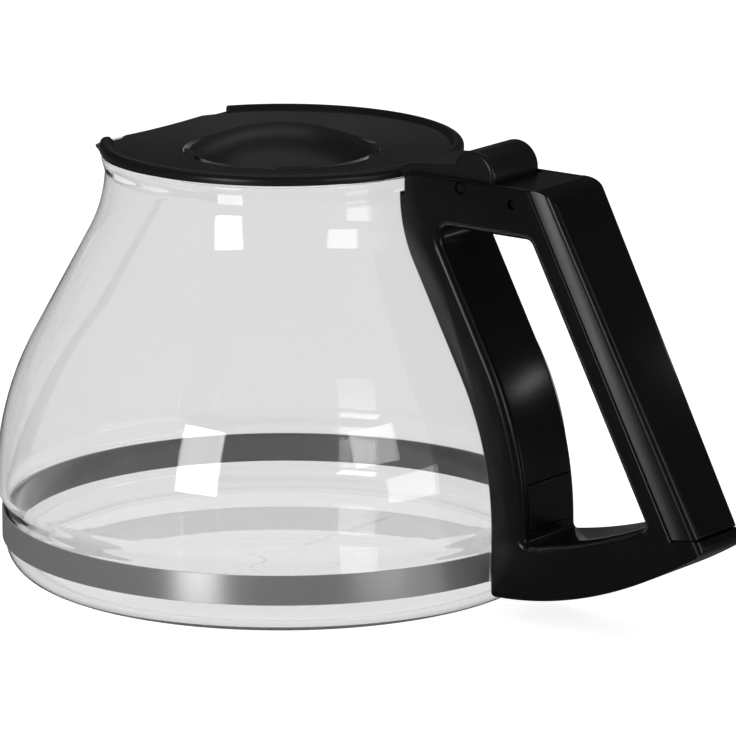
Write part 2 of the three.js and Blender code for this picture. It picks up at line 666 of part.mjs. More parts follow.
function armOutline() {
  const rimTop = RIM_HEIGHT + LID_RISE;
  const root = LID_RADIUS - 2 * LID_RIM_WIDTH;
  const drop = LIP_RADIUS + HANDLE_STANDOFF + SEAT_GAP;
  const under = CHEEK_TOP - ARM_DEPTH;
  const seat = RIM_HEIGHT + SEAT_GAP;
  const top = [
    point(root, rimTop - LID_STEP),
    point(LID_RADIUS, rimTop),
    point(LID_RADIUS + ARM_FRONT, rimTop + ARM_FRONT),
    point(HINGE_RADIUS, rimTop + ARM_RISE),
  ];
  const bottom = [point(HINGE_RADIUS, under), point(drop, under), point(drop, seat), point(root, seat)];
  return outline([{ line: top }, { line: bottom }]);
}

// The arm ends in the barrel round the hinge pin and in the drum that the thumb pushes down
function lidArm() {
  const drum = point(HINGE_RADIUS + DRUM_BEHIND, HINGE_HEIGHT + DRUM_ABOVE);
  const drumLoop = arc(drum, DRUM_RADIUS, 0, 2 * Math.PI, 40).slice(1);
  return plate(armOutline(), ARM_HALF, EDGE_ROUND / 2)
    .add(plate(drumLoop, ARM_HALF, DRUM_ROUND))
    .add(crossBar(HINGE_PIN_RADIUS + LID_SHEET, ARM_HALF - EDGE_ROUND / 2, HINGE_RADIUS, HINGE_HEIGHT));
}

function lidPlate() {
  const far = 2 * LID_RADIUS;
  const turnedPart = solidOf(turned(lidSection(), JUG_SIDES));
  const overSpout = new THREE.Shape([
    point(0, 0),
    ...arc(point(0, 0), far, Math.PI - SPOUT_HALF_ANGLE, Math.PI + SPOUT_HALF_ANGLE, 8),
  ]);
  const rimCut = solidOf(new THREE.ExtrudeGeometry(overSpout, { depth: far, bevelEnabled: false })
    .translate(0, 0, RIM_HEIGHT + SPOUT_EDGE_HEIGHT))
    .subtract(axisBar(LID_RADIUS - 2 * LID_RIM_WIDTH));
  const edgeCut = block(corner(-far, -far, 0), corner(-SPOUT_EDGE, far, far * 2));
  const pourCut = block(
    corner(-far, -POUR_WIDTH / 2, 0),
    corner(-FUNNEL_HOLE - LID_SHEET, POUR_WIDTH / 2, RIM_HEIGHT - LID_SHEET),
  );
  return turnedPart
    .subtract(rimCut)
    .subtract(edgeCut)
    .subtract(pourCut)
    .add(lidArm())
    .subtract(crossBar(HINGE_PIN_RADIUS + BORE_GAP, HALF_WIDTH, HINGE_RADIUS, HINGE_HEIGHT));
}

// An upright round bar on the jug's axis, through the whole lid
function axisBar(radius) {
  const height = 2 * RIM_HEIGHT;
  return solidOf(new THREE.CylinderGeometry(radius, radius, height, JUG_SIDES).rotateX(Math.PI / 2)
    .translate(0, 0, height / 2));
}

// Dome over the funnel's hole, on legs that snap under its edge

// Part of a ring as wide as a leg
function ringSector(inner, outer, bottom, top, turn) {
  const start = Math.asin(DOME_LEG_WIDTH / 2 / outer);
  const shape = new THREE.Shape([
    ...arc(point(0, 0), outer, -start, start, 4),
    ...arc(point(0, 0), inner, start, -start, 4),
  ]);
  const sector = new THREE.ExtrudeGeometry(shape, { depth: top - bottom, bevelEnabled: false });
  return solidOf(sector.translate(0, 0, bottom).rotateZ(turn));
}

function dripDome() {
  const sphere = (DOME_RADIUS ** 2 + DOME_HEIGHT ** 2) / (2 * DOME_HEIGHT);
  const centre = point(0, FUNNEL_FLOOR + DOME_HEIGHT - sphere);
  const reach = Math.asin(DOME_RADIUS / sphere);
  const cap = arc(centre, sphere, Math.PI / 2 - reach, Math.PI / 2, 8);
  const hollow = arc(centre, sphere - DOME_SHEET, Math.PI / 2, Math.PI / 2 - reach, 8);
  const shell = new THREE.LatheGeometry([...hollow, ...cap], JUG_SIDES);
  const under = FUNNEL_FLOOR - LID_SHEET - SEAT_GAP;
  const outer = FUNNEL_HOLE - SEAT_GAP;
  const inner = outer - DOME_LEG_WALL;
  let dome = solidOf(shell.rotateX(Math.PI / 2));
  for (let i = 0; i < DOME_LEGS; i++) {
    const turn = (i + 0.5) / DOME_LEGS * 2 * Math.PI;
    const leg = ringSector(inner, outer, under - DOME_HOOK, FUNNEL_FLOOR, turn);
    const hook = ringSector(inner, FUNNEL_HOLE + DOME_HOOK, under - DOME_HOOK, under, turn);
    dome = dome.add(leg).add(hook);
  }
  return dome;
}

function hingePin() {
  return crossBar(HINGE_PIN_RADIUS, HALF_WIDTH - HINGE_PIN_RECESS, HINGE_RADIUS, HINGE_HEIGHT);
}

function coverPin() {
  return crossBar(COVER_PIN_RADIUS, HALF_WIDTH - COVER_PIN_RECESS, COVER_PIN_X, COVER_PIN_Z);
}

// Scene graph: the body stands still, the lid is a group of its own

const glass = { color: 0xf2f5f4, roughness: 0.02, metalness: 0 };
const steel = { color: 0xb9bbbc, roughness: 0.22, metalness: 1 };
const glossBlack = { color: 0x0a0a0b, roughness: 0.22, metalness: 0 };
const satinBlack = { color: 0x131315, roughness: 0.45, metalness: 0 };

function piece(name, solid, finish) {
  const mesh = new THREE.Mesh(geometryOf(solid), new THREE.MeshStandardMaterial(finish));
  mesh.name = name;
  return mesh;
}

const body = new THREE.Group();
body.add(
  piece('glass_jug', glassJug(), { ...glass, transparent: true, opacity: 0.35 }),
  piece('steel_band', steelBand(), steel),
  piece('clamp_bracket', clampBracket(), steel),
  piece('clamp_screw', clampScrew(), steel),
  piece('clamp_cover', clampCover(), glossBlack),
  piece('handle_frame', handleFrame(), glossBlack),
  piece('grip_cover', gripCover(), glossBlack),
  piece('cover_pin', coverPin(), glossBlack),
  piece('hinge_pin', hingePin(), glossBlack),
);

const lid = new THREE.Group();
lid.add(
  piece('lid_plate', lidPlate(), satinBlack),
  piece('drip_dome', dripDome(), satinBlack),
);

const carafe = new THREE.Group();
carafe.add(body, lid);

export default carafe;
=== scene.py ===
import math

import bpy
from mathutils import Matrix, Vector


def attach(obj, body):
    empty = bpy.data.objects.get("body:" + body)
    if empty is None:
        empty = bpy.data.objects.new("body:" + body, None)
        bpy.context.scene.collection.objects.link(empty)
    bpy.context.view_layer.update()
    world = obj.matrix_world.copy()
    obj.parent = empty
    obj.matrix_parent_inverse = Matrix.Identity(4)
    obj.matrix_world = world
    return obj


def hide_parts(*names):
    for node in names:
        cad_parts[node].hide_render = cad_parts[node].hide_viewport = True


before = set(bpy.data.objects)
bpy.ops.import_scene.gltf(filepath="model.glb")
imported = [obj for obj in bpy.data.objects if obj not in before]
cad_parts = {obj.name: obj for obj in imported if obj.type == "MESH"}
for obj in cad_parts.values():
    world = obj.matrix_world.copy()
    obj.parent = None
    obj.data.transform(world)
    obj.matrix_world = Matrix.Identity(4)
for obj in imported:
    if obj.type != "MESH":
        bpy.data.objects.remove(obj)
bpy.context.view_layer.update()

MM = 0.001
TAU = 2 * math.pi

# Sizes in millimetres, as in the part's source. The lip of the glass flares more softly here, and
# the skirt of the lid is shorter, because both would show as dark lines through the neck.
SEAT_GAP = 0.3
RUN_GAP = 0.3
BORE_GAP = 0.2
RIM_HEIGHT = 116.0
BODY_RADIUS = 78.5
BODY_HEIGHT = 24.0
NECK_RADIUS = 48.0
CONE_ANGLE = math.radians(28.2)
NECK_ARC = 40.0
NECK_STRAIGHT = 0.5
WALL = 2.4
CORNER_ARC = 8.4
FLOOR_RISE = 1.2
LIP_RADIUS = 49.5
LIP_HEIGHT = 3.0
LIP_START = 110.0
LIP_ROUND = 1.1
LIP_OUT = 49.0
SPOUT_REACH = 10.5
SPOUT_DROP = 4.2
SPOUT_ROOT = 15.0
SPOUT_HALF_ANGLE = math.radians(34)
SPOUT_FLARE = 1.5
BAND_BOTTOM = 9.1
BAND_HEIGHT = 8.1
BAND_THICKNESS = 0.6
BAND_SEAT_RADIUS = 76.2
EAR_SPREAD = 17.4
EAR_REACH = 5.6
HOOK_LENGTH = 3.2
HANDLE_WIDTH = 25.0
HANDLE_STANDOFF = 0.9
HANDLE_RISE = 2.5
BRIDGE_DEPTH = 13.8
LEG_THICKNESS = 10.8
GRIP_LEAN = math.radians(27.9)
GRIP_OFFSET = 43.0
GRIP_INNER_DEPTH = 6.6
GRIP_OUTER_DEPTH = 6.0
FOOT_BOTTOM = 6.2
FOOT_DEPTH = 16.0
HEEL_HEIGHT = 28.0
LEDGE_HEIGHT = 31.0
LOOP_ROUND = 2.6
LOOP_CORNER = 5.0
LOOP_CREASE = 1.6
HEEL_ROUND = 2.4
EDGE_ROUND = 0.8
CHEEK = 1.7
SHELL = 2.4
COVER_TOP_WIDTH = 24.4
COVER_END_WIDTH = 20.0
COVER_ROUND = 2.4
COVER_CROWN = 6.0
TONGUE_DEPTH = 8.0
COVER_PIN_RADIUS = 1.1
COVER_PIN_BEHIND = 16.6
COVER_PIN_BELOW = 2.4
COVER_PIN_RECESS = 0.8
HINGE_RADIUS = 69.1
HINGE_BELOW_TOP = 2.2
HINGE_PIN_RADIUS = 1.5
HINGE_PIN_RECESS = 0.3
DRUM_RADIUS = 6.8
DRUM_BEHIND = 2.6
DRUM_ABOVE = 3.1
DRUM_ROUND = 1.2
HINGE_RANGE = math.radians(80)
LID_RADIUS = 49.5
LID_RISE = 3.0
LID_RIM_WIDTH = 2.6
LID_EDGE_ROUND = 1.8
LID_SHEET = 2.0
LID_STEP = 1.3
FUNNEL_DROP = 1.6
FUNNEL_HOLE = 26.8
SKIRT_GAP = 3.2
SKIRT_DEPTH = 1.4
SKIRT_DRAFT = 0.5
SPOUT_EDGE = 41.0
SPOUT_EDGE_HEIGHT = 1.0
POUR_WIDTH = 34.0
ARM_FRONT = 1.5
ARM_RISE = 3.2
ARM_DEPTH = 4.4
DOME_RADIUS = 25.0
DOME_HEIGHT = 6.5
DOME_SHEET = 1.8
DOME_LEGS = 4
DOME_LEG_WIDTH = 9.0
DOME_LEG_WALL = 3.7
DOME_HOOK = 1.2
SCREW_HEIGHT = 30.5
SCREW_RADIUS = 1.4
BRACKET_MARGIN = 5.0
PANEL_WIDTH = 19.0
PANEL_BOTTOM = 25.5
PANEL_TOP = 37.5
PANEL_THICKNESS = 1.7
PANEL_PROUD = 0.5
PANEL_RECESS = 3.4

CHEEK_TOP = RIM_HEIGHT + HANDLE_RISE
HALF_WIDTH = HANDLE_WIDTH / 2
SLOT_HALF = HALF_WIDTH - CHEEK
ARM_HALF = SLOT_HALF - RUN_GAP
HINGE_HEIGHT = CHEEK_TOP - HINGE_BELOW_TOP
DRUM_SWEEP = math.hypot(DRUM_BEHIND, DRUM_ABOVE) + DRUM_RADIUS + SEAT_GAP
DRUM_LOW = math.hypot(DRUM_BEHIND, DRUM_ABOVE) * math.sin(
    math.atan2(DRUM_ABOVE, DRUM_BEHIND) - HINGE_RANGE) - DRUM_RADIUS
NECK_TOP = RIM_HEIGHT - LIP_HEIGHT - NECK_STRAIGHT
BAND_TOP = BAND_BOTTOM + BAND_HEIGHT
BAND_RADIUS = BAND_SEAT_RADIUS + SEAT_GAP
LEG_INSIDE = BODY_RADIUS + HANDLE_STANDOFF
POCKET_DEPTH = BAND_RADIUS + EAR_REACH + BAND_THICKNESS + SEAT_GAP
POCKET_HALF = EAR_SPREAD / 2 + BAND_THICKNESS / 2 + SEAT_GAP
FUNNEL_FLOOR = RIM_HEIGHT + LID_RISE - LID_STEP - FUNNEL_DROP
BELLY_ARC = ((NECK_RADIUS - BODY_RADIUS) * math.cos(CONE_ANGLE)
             + (NECK_TOP - BODY_HEIGHT) * math.sin(CONE_ANGLE)) / (1 - math.cos(CONE_ANGLE)) - NECK_ARC
BRIDGE_BOTTOM = CHEEK_TOP - BRIDGE_DEPTH
GRIP_TOP = NECK_RADIUS + GRIP_OFFSET
FOOT_TOP = FOOT_BOTTOM + FOOT_DEPTH
LOOP_FLOOR = HEEL_HEIGHT + FOOT_DEPTH / 3
COVER_PIN_X = HINGE_RADIUS + COVER_PIN_BEHIND
COVER_PIN_Z = HINGE_HEIGHT - COVER_PIN_BELOW
TONGUE_BOTTOM = CHEEK_TOP - TONGUE_DEPTH


# Outlines

def lerp(a, b, t):
    return (a[0] + (b[0] - a[0]) * t, a[1] + (b[1] - a[1]) * t)


def arc(centre, radius, start, end, steps):
    angles = [start + (end - start) * i / steps for i in range(steps + 1)]
    return [(centre[0] + radius * math.cos(a), centre[1] + radius * math.sin(a)) for a in angles]


def bend(start, control, end, steps):
    return [lerp(lerp(start, control, i / steps), lerp(control, end, i / steps), i / steps)
            for i in range(steps + 1)]


def trim_start(line, length):
    rest = list(line)
    left = length
    while left > 0 and len(rest) > 1:
        piece = math.dist(rest[0], rest[1])
        if piece > left:
            rest[0] = lerp(rest[0], rest[1], left / piece)
            left = 0
        else:
            left -= piece
            rest.pop(0)
    return rest


def trim_end(line, length):
    return trim_start(line[::-1], length)[::-1]


def outline(sides, steps=8):
    """A closed outline from (line, rounding at its end) pairs."""
    loop = []
    for i, (line, rounding) in enumerate(sides):
        following = sides[(i + 1) % len(sides)][0]
        kept = trim_end(trim_start(line, sides[i - 1][1]), rounding)
        loop += kept
        if rounding > 0:
            loop += bend(kept[-1], line[-1], trim_start(following, rounding)[0], steps)
    clean = [p for i, p in enumerate(loop) if math.dist(p, loop[i - 1]) > 1e-3]
    area = sum(a[0] * b[1] - b[0] * a[1] for a, b in zip(clean, clean[1:] + clean[:1]))
    return clean if area > 0 else clean[::-1]


def grown(loop, distance):
    moved = []
    for i, p in enumerate(loop):
        a, b = loop[i - 1], loop[(i + 1) % len(loop)]
        into = (Vector(p) - Vector(a)).normalized()
        out = (Vector(b) - Vector(p)).normalized()
        normal = Vector((into.y + out.y, -into.x - out.x)).normalized()
        share = max(normal.x * into.y - normal.y * into.x, 0.4)
        moved.append((p[0] + normal.x * distance / share, p[1] + normal.y * distance / share))
    return moved


# Meshes

def add_mesh(name, verts, faces):
    mesh = bpy.data.meshes.new(name)
    mesh.from_pydata([tuple(c * MM for c in v) for v in verts], [], faces)
    mesh.validate()
    obj = bpy.data.objects.new(name, mesh)
    bpy.context.scene.collection.objects.link(obj)
    return obj


def loft(name, rings, place, closed=True):
    """A closed solid between rings of as many points, given as (loop, where)."""
    count = len(rings[0][0])
    verts = [place(p, at) for loop, at in rings for p in loop]
    faces = []
    for r in range(len(rings) - 1):
        for i in range(count):
            a, b = r * count + i, r * count + (i + 1) % count
            faces.append((a, b, b + count, a + count))
    last = (len(rings) - 1) * count
    if closed:
        faces.append(tuple(range(count))[::-1])
        faces.append(tuple(range(last, last + count)))
    else:
        for i in range(count):
            a, b = last + i, last + (i + 1) % count
            faces.append((a, b, (i + 1) % count, i))
    return add_mesh(name, verts, faces)


def upright(p, at):
    return (p[0], -at, p[1])


def level(p, at):
    return (p[0], p[1], at)


def plate(name, loop, half, rounding, steps=6):
    rings = []
    for i in range(steps + 1):
        angle = i / steps * math.pi / 2
        rings.append((grown(loop, rounding * (math.sin(angle) - 1)), -half + rounding * (1 - math.cos(angle))))
    return loft(name, rings + [(ring, -at) for ring, at in reversed(rings)], upright)


def slab(name, loop, half):
    return loft(name, [(loop, -half), (loop, half)], upright)


def flared_cut(name, loop, half, rounding, steps=8):
    rings = [(grown(loop, rounding), -half - 1)]
    for i in range(steps + 1):
        angle = i / steps * math.pi / 2
        rings.append((grown(loop, rounding * (1 - math.sin(angle))), -half + rounding * (1 - math.cos(angle))))
    return loft(name, rings + [(ring, -at) for ring, at in reversed(rings)], upright)


def block(name, low, high):
    loop = [(low[0], low[1]), (high[0], low[1]), (high[0], high[1]), (low[0], high[1])]
    return loft(name, [(loop, low[2]), (loop, high[2])], level)


def cross_bar(name, radius, half, x, z, sides=64):
    return loft(name, [(arc((x, z), radius, 0, TAU, sides)[:-1], at) for at in (-half, half)], upright)


def length_bar(name, radius, start, end, z, sides=40):
    loop = arc((0, z), radius, 0, TAU, sides)[:-1]
    return loft(name, [(loop, start), (loop, end)], lambda p, at: (at, p[0], p[1]))


def turned(name, section, sides, closed=False):
    """Turns a section of (radius, height) round the upright axis; ends on the axis are poles."""
    verts, rows = [], []
    for r, z in section:
        if r < 1e-6:
            rows.append([len(verts)])
            verts.append((0, 0, z))
        else:
            rows.append(list(range(len(verts), len(verts) + sides)))
            verts += [(r * math.cos(TAU * k / sides), r * math.sin(TAU * k / sides), z) for k in range(sides)]
    faces = []
    pairs = list(zip(rows, rows[1:])) + ([(rows[-1], rows[0])] if closed else [])
    for a, b in pairs:
        for k in range(sides):
            n = (k + 1) % sides
            if len(a) == 1:
                faces.append((a[0], b[n], b[k]))
            elif len(b) == 1:
                faces.append((a[k], a[n], b[0]))
            else:
                faces.append((a[k], a[n], b[n], b[k]))
    return add_mesh(name, verts, faces)


def combine(obj, tool, operation="DIFFERENCE"):
    modifier = obj.modifiers.new("combine", "BOOLEAN")
    modifier.operation = operation
    modifier.solver = "EXACT"
    modifier.object = tool
    graph = bpy.context.evaluated_depsgraph_get()
    mesh = bpy.data.meshes.new_from_object(obj.evaluated_get(graph))
    obj.modifiers.clear()
    old = obj.data
    obj.data = mesh
    bpy.data.meshes.remove(old)
    bpy.data.objects.remove(tool)
    return obj


def finish_mesh(obj, angle=32, bevel=0.0):
    if bevel:
        modifier = obj.modifiers.new("edges", "BEVEL")
        modifier.width = bevel * MM
        modifier.segments = 3
        modifier.limit_method = "ANGLE"
        modifier.angle_limit = math.radians(angle)
        modifier.use_clamp_overlap = True
    obj.data.polygons.foreach_set("use_smooth", [True] * len(obj.data.polygons))
    obj.data.set_sharp_from_angle(angle=math.radians(angle))
    return obj


# Section of the jug's side from the widest point to the neck, moved outward

def jug_side(outward, steps=26):
    belly = (BODY_RADIUS - BELLY_ARC, BODY_HEIGHT)
    hollow = (NECK_RADIUS + NECK_ARC, NECK_TOP)
    return (arc(belly, BELLY_ARC + outward, 0, CONE_ANGLE, steps)
            + arc(hollow, NECK_ARC - outward, math.pi + CONE_ANGLE, math.pi, steps))


def jug_foot(inward):
    centre = (BAND_SEAT_RADIUS - CORNER_ARC, CORNER_ARC)
    rounding = arc(centre, CORNER_ARC - inward, -math.pi / 2, 0, 16)
    start = BAND_TOP + SEAT_GAP
    swell = []
    for i in range(12):
        share = (1 - math.cos(math.pi * i / 12)) / 2
        swell.append((BAND_SEAT_RADIUS + (BODY_RADIUS - BAND_SEAT_RADIUS) * share - inward,
                      start + (BODY_HEIGHT - start) * i / 12))
    return rounding + swell


def make_glass():
    reach = BAND_SEAT_RADIUS - CORNER_ARC
    floor = [(reach * (1 - s / 14), WALL + FLOOR_RISE * (s / 14) * (2 - s / 14)) for s in range(14, 0, -1)]
    inside = NECK_RADIUS - WALL
    shoulder = RIM_HEIGHT - LIP_ROUND
    crest = ((LIP_OUT + inside) / 2, RIM_HEIGHT)
    under = []
    for i in range(1, 17):
        share = i / 16
        under.append((NECK_RADIUS + (LIP_OUT - NECK_RADIUS) * share * share * (3 - 2 * share),
                      LIP_START + (shoulder - LIP_START) * share))
    outer = bend((LIP_OUT, shoulder), (LIP_OUT, RIM_HEIGHT), crest, 8)
    inner = bend(crest, (inside, RIM_HEIGHT), (inside, shoulder), 8)
    base = [(reach * i / 6, 0.0) for i in range(6)]
    side = [p for p in jug_side(0) if p[1] < LIP_START]
    outside = base + jug_foot(0) + side + under + outer[1:] + inner[1:]
    inside_line = (floor + jug_foot(WALL) + jug_side(-WALL))[::-1]
    obj = turned("glass_jug_smooth", outside + inside_line, 240)
    root = RIM_HEIGHT - SPOUT_ROOT
    for v in obj.data.vertices:
        x, y, z = (c / MM for c in v.co)
        angle = abs(math.atan2(y, -x)) / SPOUT_HALF_ANGLE
        climb = (z - root) / SPOUT_ROOT
        radius = math.hypot(x, y)
        if angle < 1 and climb > 0 and radius > NECK_RADIUS / 2:
            side = math.cos(angle * math.pi / 2) ** SPOUT_FLARE
            scale = (radius + SPOUT_REACH * side * climb ** 2) / radius
            v.co = (x * scale * MM, y * scale * MM, (z - SPOUT_DROP * side * climb ** 2) * MM)
    return finish_mesh(obj, 60)


def make_band():
    middle = BAND_RADIUS + BAND_THICKNESS / 2
    ear = EAR_SPREAD / 2
    hook = BAND_RADIUS + EAR_REACH + BAND_THICKNESS / 2
    start = math.asin(ear / middle)
    end = [(hook, ear - HOOK_LENGTH), (hook, ear)]
    centre = end + arc((0, 0), middle, start, TAU - start, 220) + [(x, -y) for x, y in reversed(end)]
    round_by = 0.16
    half = BAND_THICKNESS / 2
    section = []
    corners = ((half, BAND_TOP, 0), (-half, BAND_TOP, 90), (-half, BAND_BOTTOM, 180), (half, BAND_BOTTOM, 270))
    for cx, cz, a0 in corners:
        sx = cx - math.copysign(round_by, cx)
        sz = cz - round_by if cz == BAND_TOP else cz + round_by
        section += arc((sx, sz), round_by, math.radians(a0), math.radians(a0 + 90), 4)
    verts, faces = [], []
    for i, p in enumerate(centre):
        a, b = centre[max(i - 1, 0)], centre[min(i + 1, len(centre) - 1)]
        into = (Vector(p) - Vector(a)).normalized() if i else Vector(b) - Vector(p)
        out = (Vector(b) - Vector(p)).normalized() if i < len(centre) - 1 else into
        into = into.normalized()
        along = (into + out).normalized()
        share = max(along.dot(into), 0.4)
        for d, z in section:
            verts.append((p[0] + along.y * d / share, p[1] - along.x * d / share, z))
    n = len(section)
    for i in range(len(centre) - 1):
        for k in range(n):
            a, b = i * n + k, i * n + (k + 1) % n
            faces.append((a, a + n, b + n, b))
    faces.append(tuple(range(n)))
    last = (len(centre) - 1) * n
    faces.append(tuple(range(last + n - 1, last - 1, -1)))
    return finish_mesh(add_mesh("steel_band_smooth", verts, faces), 50)


def between(line, low, high):
    def cut(z):
        for a, b in zip(line, line[1:]):
            if a[1] <= z <= b[1]:
                return lerp(a, b, (z - a[1]) / (b[1] - a[1]))
        return None
    return [cut(low)] + [p for p in line if low + 1e-3 < p[1] < high - 1e-3] + [cut(high)]


def leg_outside(extra):
    return jug_side(HANDLE_STANDOFF + LEG_THICKNESS + extra)


def grip_line(depth, z):
    return (GRIP_TOP + depth / math.cos(GRIP_LEAN) + (BRIDGE_BOTTOM - z) * math.tan(GRIP_LEAN), z)


def finger_gap():
    leg = between(leg_outside(0), BODY_HEIGHT, BRIDGE_BOTTOM)
    leg_foot = (leg[0][0], FOOT_TOP)
    grip_foot = grip_line(0, LOOP_FLOOR)
    sag = ((leg_foot[0] + grip_foot[0]) / 2, FOOT_TOP + FOOT_DEPTH / 6)
    return outline([
        ([leg_foot] + leg, LOOP_CORNER),
        ([leg[-1], grip_line(0, BRIDGE_BOTTOM)], LOOP_CREASE),
        ([grip_line(0, BRIDGE_BOTTOM), grip_foot], LOOP_CREASE),
        (bend(grip_foot, sag, leg_foot, 24), LOOP_CREASE),
    ])


def frame_outline():
    under_lip = RIM_HEIGHT - LIP_HEIGHT - SEAT_GAP
    neck = NECK_RADIUS + HANDLE_STANDOFF
    nose = LIP_RADIUS + HANDLE_STANDOFF
    inner = [(LEG_INSIDE, FOOT_BOTTOM)]
    inner += [p for p in jug_side(HANDLE_STANDOFF) if p[1] < under_lip - 2 * EDGE_ROUND]
    inner += [(neck, under_lip), (nose, under_lip), (nose, CHEEK_TOP)]
    depth = GRIP_INNER_DEPTH + GRIP_OUTER_DEPTH
    seam_top = grip_line(GRIP_INNER_DEPTH, CHEEK_TOP)
    seam_end = grip_line(GRIP_INNER_DEPTH, LEDGE_HEIGHT)
    ledge = grip_line(depth, LEDGE_HEIGHT)
    heel = grip_line(depth, HEEL_HEIGHT)
    sag = ((LEG_INSIDE + heel[0]) / 2, FOOT_BOTTOM)
    return outline([
        (inner, HANDLE_RISE),
        ([inner[-1], seam_top], 0),
        ([seam_top, seam_end], 0),
        ([seam_end, ledge], 0),
        ([ledge, heel], HEEL_ROUND),
        (bend(heel, sag, inner[0], 30), LOOP_CREASE),
    ])


def grip_hollow():
    top = BRIDGE_BOTTOM - SHELL
    end = LOOP_FLOOR + SHELL
    deep = GRIP_INNER_DEPTH + SHELL
    return outline([
        ([grip_line(SHELL, top), grip_line(SHELL, end)], SHELL),
        ([grip_line(SHELL, end), grip_line(deep, end)], 0),
        ([grip_line(deep, end), grip_line(deep, top)], 0),
        ([grip_line(deep, top), grip_line(SHELL, top)], SHELL),
    ])


def panel_outline(gap, depth):
    low, high = PANEL_BOTTOM - gap, PANEL_TOP + gap
    proud = between(leg_outside(BRIDGE_DEPTH if gap > 0 else PANEL_PROUD), low, high)
    sunk = between(leg_outside(-depth), low, high)[::-1]
    return outline([(proud, 0), ([proud[-1], sunk[0]], 0), (sunk, 0), ([sunk[-1], proud[0]], 0)])


def make_frame():
    far = HALF_WIDTH + 1
    seam = grip_line(GRIP_INNER_DEPTH, CHEEK_TOP)[0] + BRIDGE_DEPTH
    obj = plate("handle_frame_smooth", frame_outline(), HALF_WIDTH, EDGE_ROUND)
    combine(obj, flared_cut("gap", finger_gap(), HALF_WIDTH, LOOP_ROUND))
    seam_in = GRIP_INNER_DEPTH + EDGE_ROUND
    top = LEDGE_HEIGHT + EDGE_ROUND
    waste = slab("heel_waste", outline([
        ([grip_line(seam_in, top), grip_line(seam_in, 0)], 0),
        ([grip_line(seam_in + BRIDGE_DEPTH, 0), grip_line(seam_in + BRIDGE_DEPTH, top)], 0),
    ]), HALF_WIDTH + EDGE_ROUND)
    combine(waste, loft("heel_kept", [(cover_section(z, COVER_END_WIDTH, 0), z)
                                      for z in (0, LEDGE_HEIGHT + HALF_WIDTH)], level))
    combine(obj, waste)
    combine(obj, block("arm_slot", (0, -SLOT_HALF, CHEEK_TOP - ARM_DEPTH - SEAT_GAP),
                       (HINGE_RADIUS, SLOT_HALF, CHEEK_TOP + far)))
    drum = cross_bar("drum_slot", DRUM_SWEEP, SLOT_HALF, HINGE_RADIUS, HINGE_HEIGHT, 96)
    combine(drum, block("drum_room", (0, -far, HINGE_HEIGHT + DRUM_LOW - SEAT_GAP),
                        (HINGE_RADIUS + far, far, CHEEK_TOP + far)), "INTERSECT")
    combine(obj, drum)
    combine(obj, block("tongue_slot", (HINGE_RADIUS, -SLOT_HALF, TONGUE_BOTTOM - SEAT_GAP),
                       (seam, SLOT_HALF, CHEEK_TOP + far)))
    combine(obj, slab("hollow", grip_hollow(), HALF_WIDTH - SHELL))
    combine(obj, block("pocket", (BODY_RADIUS - BRIDGE_DEPTH, -POCKET_HALF, BAND_BOTTOM - SEAT_GAP),
                       (POCKET_DEPTH, POCKET_HALF, SCREW_HEIGHT + BRACKET_MARGIN + SEAT_GAP)))
    combine(obj, slab("recess", panel_outline(SEAT_GAP, PANEL_RECESS), PANEL_WIDTH / 2 + SEAT_GAP))
    combine(obj, length_bar("screw_bore", SCREW_RADIUS + BORE_GAP, BODY_RADIUS, LEG_INSIDE + LEG_THICKNESS,
                            SCREW_HEIGHT))
    combine(obj, cross_bar("pin_bore", HINGE_PIN_RADIUS + BORE_GAP, far, HINGE_RADIUS, HINGE_HEIGHT))
    combine(obj, cross_bar("cover_bore", COVER_PIN_RADIUS + BORE_GAP, far, COVER_PIN_X, COVER_PIN_Z))
    return finish_mesh(obj, 30, 0.15)


def make_panel():
    obj = slab("clamp_cover_smooth", panel_outline(0, PANEL_THICKNESS - PANEL_PROUD), PANEL_WIDTH / 2)
    return finish_mesh(obj, 30, 0.35)


def cover_section(z, width, sink):
    inner = grip_line(GRIP_INNER_DEPTH, z)[0] + SEAT_GAP - sink
    outer = grip_line(GRIP_INNER_DEPTH + GRIP_OUTER_DEPTH - sink, z)[0]
    face = width / 2 - sink
    rim = arc((outer - COVER_ROUND, face - COVER_ROUND), COVER_ROUND, 0, math.pi / 2, 12)
    side = rim + [(inner, HALF_WIDTH - sink)]
    return [(x, -y) for x, y in reversed(side)] + side


def cover_body(name, sink):
    past = -sink if sink else SHELL
    end = LEDGE_HEIGHT + SEAT_GAP - past
    top = CHEEK_TOP + past
    return loft(name, [(cover_section(end, COVER_END_WIDTH, sink), end),
                       (cover_section(top, COVER_TOP_WIDTH, sink), top)], level)


